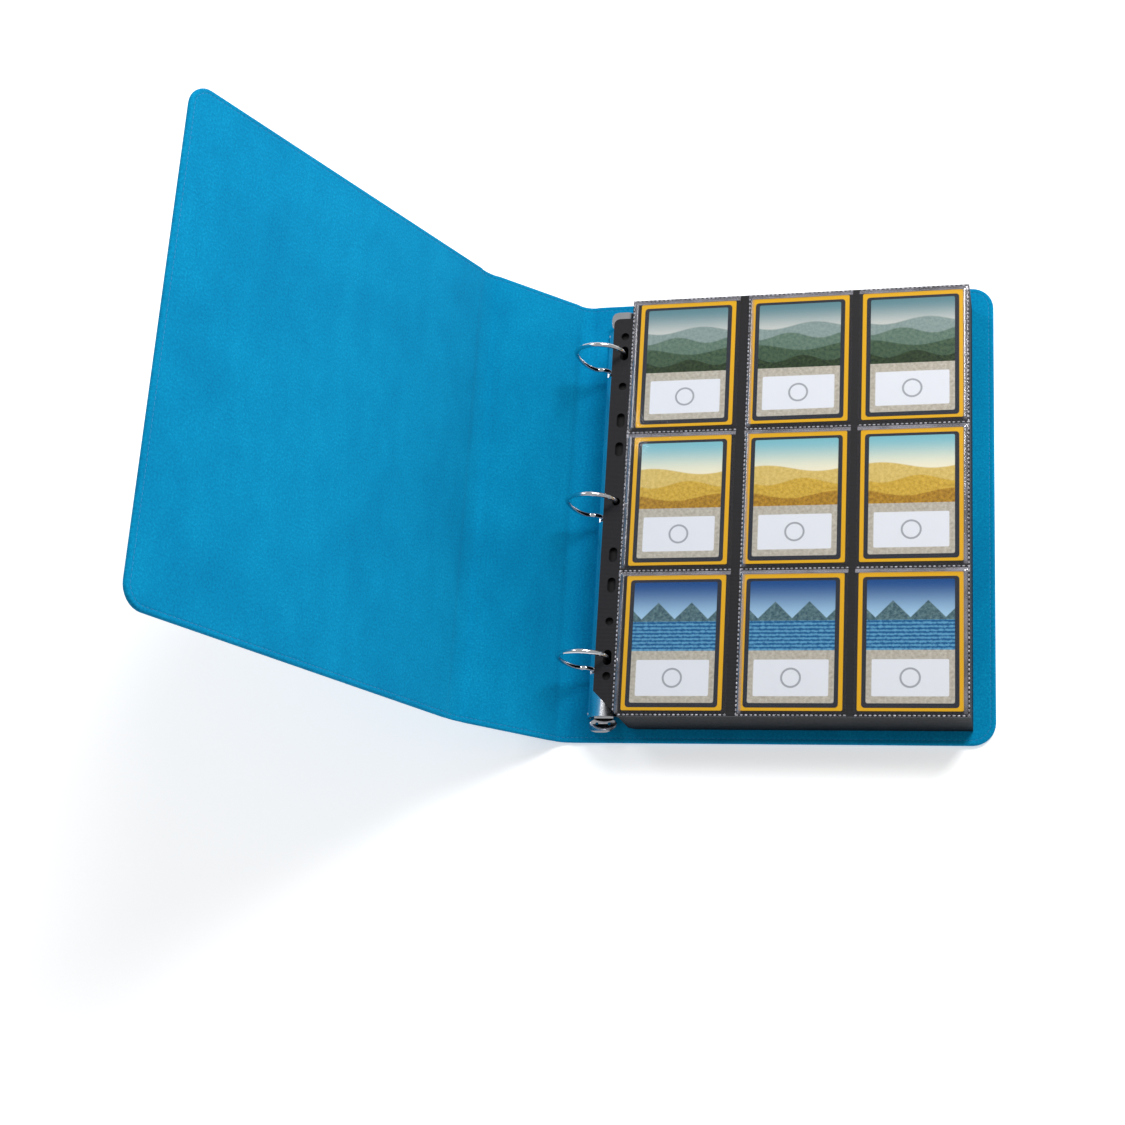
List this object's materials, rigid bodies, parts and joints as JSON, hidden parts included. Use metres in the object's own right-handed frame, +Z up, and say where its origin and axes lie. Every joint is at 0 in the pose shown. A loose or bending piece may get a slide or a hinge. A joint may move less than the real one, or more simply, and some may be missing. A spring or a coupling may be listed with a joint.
{
  "type": "trading card binder",
  "caption": "Open ring binder for collecting cards: padded fold-over cover, D-shaped metal rings with opening levers, and a stack of black pocket pages holding sleeved cards.",
  "frame": {"origin": "underside of the back cover, half way between the back fold and the fore edge and half way up the cover", "axes": "+X from the back fold to the fore edge, +Y along the row of rings towards the head of the pages, +Z up out of the back cover"},
  "size_m": [0.4452, 0.319, 0.3334],
  "materials": {
    "outer_microfibre": "brushed blue microfibre, matt, fine nap",
    "lining_microfibre": "brushed blue microfibre, matt, fine nap",
    "fold_microfibre": "two skins of blue microfibre glued back to back",
    "greyboard": "unfinished pressed greyboard",
    "nickel": "bright nickel plate",
    "plate_steel": "zinc-plated spring steel",
    "black_sheet": "black polypropylene, fine ribbed grain",
    "rear_pockets": "clear film over sleeved cards",
    "clear_film": "clear glossy polypropylene film",
    "card_sleeve": "gold-edged card in a clear glossy sleeve"
  },
  "bodies": {
    "back_cover": {"back_outer_skin": "outer_microfibre", "back_board": "greyboard", "back_lining": "lining_microfibre", "fold_strip_back": "fold_microfibre", "ring_shield": "nickel", "rivet_top": "nickel", "lever_pin_top": "plate_steel", "rivet_bottom": "nickel", "lever_pin_bottom": "plate_steel"},
    "spine": {"spine_outer_skin": "outer_microfibre", "spine_board": "greyboard", "spine_lining": "lining_microfibre", "fold_strip_front": "fold_microfibre"},
    "front_cover": {"front_outer_skin": "outer_microfibre", "front_board": "greyboard", "front_lining": "lining_microfibre"},
    "left_plate": {"hinge_plate_left": "plate_steel", "ring_arch_top": "nickel", "ring_arch_middle": "nickel", "ring_arch_bottom": "nickel"},
    "right_plate": {"hinge_plate_right": "plate_steel", "ring_post_top": "nickel", "ring_post_middle": "nickel", "ring_post_bottom": "nickel"},
    "top_lever": {"lever_top": "nickel"},
    "bottom_lever": {"lever_bottom": "nickel"},
    "pages_01_to_05": {"page_01": "black_sheet", "page_02": "black_sheet", "page_03": "black_sheet", "page_04": "black_sheet", "page_05": "black_sheet"},
    "pages_06_to_10": {"page_06": "black_sheet", "page_07": "black_sheet", "page_08": "black_sheet", "page_09": "black_sheet", "page_10": "black_sheet"},
    "pages_11_to_15": {"page_11": "black_sheet", "page_12": "black_sheet", "page_13": "black_sheet", "page_14": "black_sheet", "page_15": "black_sheet"},
    "pages_16_to_19": {"page_16": "black_sheet", "page_17": "black_sheet", "page_18": "black_sheet", "page_19": "black_sheet"},
    "top_page": {"top_page_sheet": "black_sheet", "top_page_rear_pockets": "rear_pockets", "top_page_film_left": "clear_film", "top_page_film_middle": "clear_film", "top_page_film_right": "clear_film"},
    "card_r1c1": {"sleeved_card_r1c1": "card_sleeve"},
    "card_r1c2": {"sleeved_card_r1c2": "card_sleeve"},
    "card_r1c3": {"sleeved_card_r1c3": "card_sleeve"},
    "card_r2c1": {"sleeved_card_r2c1": "card_sleeve"},
    "card_r2c2": {"sleeved_card_r2c2": "card_sleeve"},
    "card_r2c3": {"sleeved_card_r2c3": "card_sleeve"},
    "card_r3c1": {"sleeved_card_r3c1": "card_sleeve"},
    "card_r3c2": {"sleeved_card_r3c2": "card_sleeve"},
    "card_r3c3": {"sleeved_card_r3c3": "card_sleeve"}
  },
  "joints": [
    {"name": "spine_fold", "type": "hinge", "parent": "back_cover", "child": "spine", "pos_m": [-0.1425, 0, 0.0018], "axis": [0, 1, 0], "range_deg": [-49, 36], "deforming": ["fold_strip_back"]},
    {"name": "front_cover_fold", "type": "hinge", "parent": "spine", "child": "front_cover", "pos_m": [-0.19892, 0, 0.06671], "axis": [0, 1, 0], "range_deg": [-20, 75], "deforming": ["fold_strip_front"]},
    {"name": "ring_open", "type": "hinge", "parent": "back_cover", "child": "left_plate", "pos_m": [-0.1223, -0.0035, 0.00605], "axis": [0, -1, 0], "range_deg": [0, 7.5]},
    {"name": "right_plate_turn", "type": "hinge", "parent": "back_cover", "child": "right_plate", "pos_m": [-0.1025, -0.0035, 0.00605], "axis": [0, 1, 0], "range_deg": [0, 7.5]},
    {"name": "top_lever_press", "type": "hinge", "parent": "back_cover", "child": "top_lever", "pos_m": [-0.1124, 0.134, 0.0066], "axis": [-1, 0, 0], "range_deg": [0, 20]},
    {"name": "bottom_lever_press", "type": "hinge", "parent": "back_cover", "child": "bottom_lever", "pos_m": [-0.1124, -0.141, 0.0066], "axis": [1, 0, 0], "range_deg": [0, 20]},
    {"name": "pages_16_19_shift", "type": "slide", "parent": "back_cover", "child": "pages_16_to_19", "axis": [1, 0, 0], "range_m": [0, 0.00445]},
    {"name": "pages_11_15_shift", "type": "slide", "parent": "back_cover", "child": "pages_11_to_15", "axis": [1, 0, 0], "range_m": [0, 0.00345]},
    {"name": "pages_06_10_shift", "type": "slide", "parent": "back_cover", "child": "pages_06_to_10", "axis": [1, 0, 0], "range_m": [0, 0.00245]},
    {"name": "pages_01_05_shift", "type": "slide", "parent": "back_cover", "child": "pages_01_to_05", "axis": [1, 0, 0], "range_m": [0, 0.00144]},
    {"name": "top_page_turn", "type": "hinge", "parent": "pages_16_to_19", "child": "top_page", "pos_m": [-0.1206, -0.0035, 0.04295], "axis": [0, 1, 0], "range_deg": [-118, 0]},
    {"name": "card_r1c1_slide", "type": "slide", "parent": "top_page", "child": "card_r1c1", "axis": [1, 0, 0], "range_m": [-0.0024, 0.007]},
    {"name": "card_r1c2_slide", "type": "slide", "parent": "top_page", "child": "card_r1c2", "axis": [1, 0, 0], "range_m": [0, 0.006]},
    {"name": "card_r1c3_slide", "type": "slide", "parent": "top_page", "child": "card_r1c3", "axis": [1, 0, 0], "range_m": [-0.008, 0.0004]},
    {"name": "card_r2c1_slide", "type": "slide", "parent": "top_page", "child": "card_r2c1", "axis": [1, 0, 0], "range_m": [-0.0024, 0.007]},
    {"name": "card_r2c2_slide", "type": "slide", "parent": "top_page", "child": "card_r2c2", "axis": [1, 0, 0], "range_m": [0, 0.006]},
    {"name": "card_r2c3_slide", "type": "slide", "parent": "top_page", "child": "card_r2c3", "axis": [1, 0, 0], "range_m": [-0.008, 0.0004]},
    {"name": "card_r3c1_slide", "type": "slide", "parent": "top_page", "child": "card_r3c1", "axis": [1, 0, 0], "range_m": [-0.0024, 0.007]},
    {"name": "card_r3c2_slide", "type": "slide", "parent": "top_page", "child": "card_r3c2", "axis": [1, 0, 0], "range_m": [0, 0.006]},
    {"name": "card_r3c3_slide", "type": "slide", "parent": "top_page", "child": "card_r3c3", "axis": [1, 0, 0], "range_m": [-0.008, 0.0004]}
  ],
  "couplings": [
    {"joint": "pages_11_15_shift", "follows": "pages_16_19_shift", "ratio": 0.77472},
    {"joint": "pages_06_10_shift", "follows": "pages_16_19_shift", "ratio": 0.54943},
    {"joint": "pages_01_05_shift", "follows": "pages_16_19_shift", "ratio": 0.32415},
    {"joint": "ring_open", "follows": "pages_16_19_shift", "rad_per_m": 29.438},
    {"joint": "right_plate_turn", "follows": "pages_16_19_shift", "rad_per_m": 29.438},
    {"joint": "top_lever_press", "follows": "pages_16_19_shift", "rad_per_m": 78.502},
    {"joint": "bottom_lever_press", "follows": "pages_16_19_shift", "rad_per_m": 78.502}
  ]
}
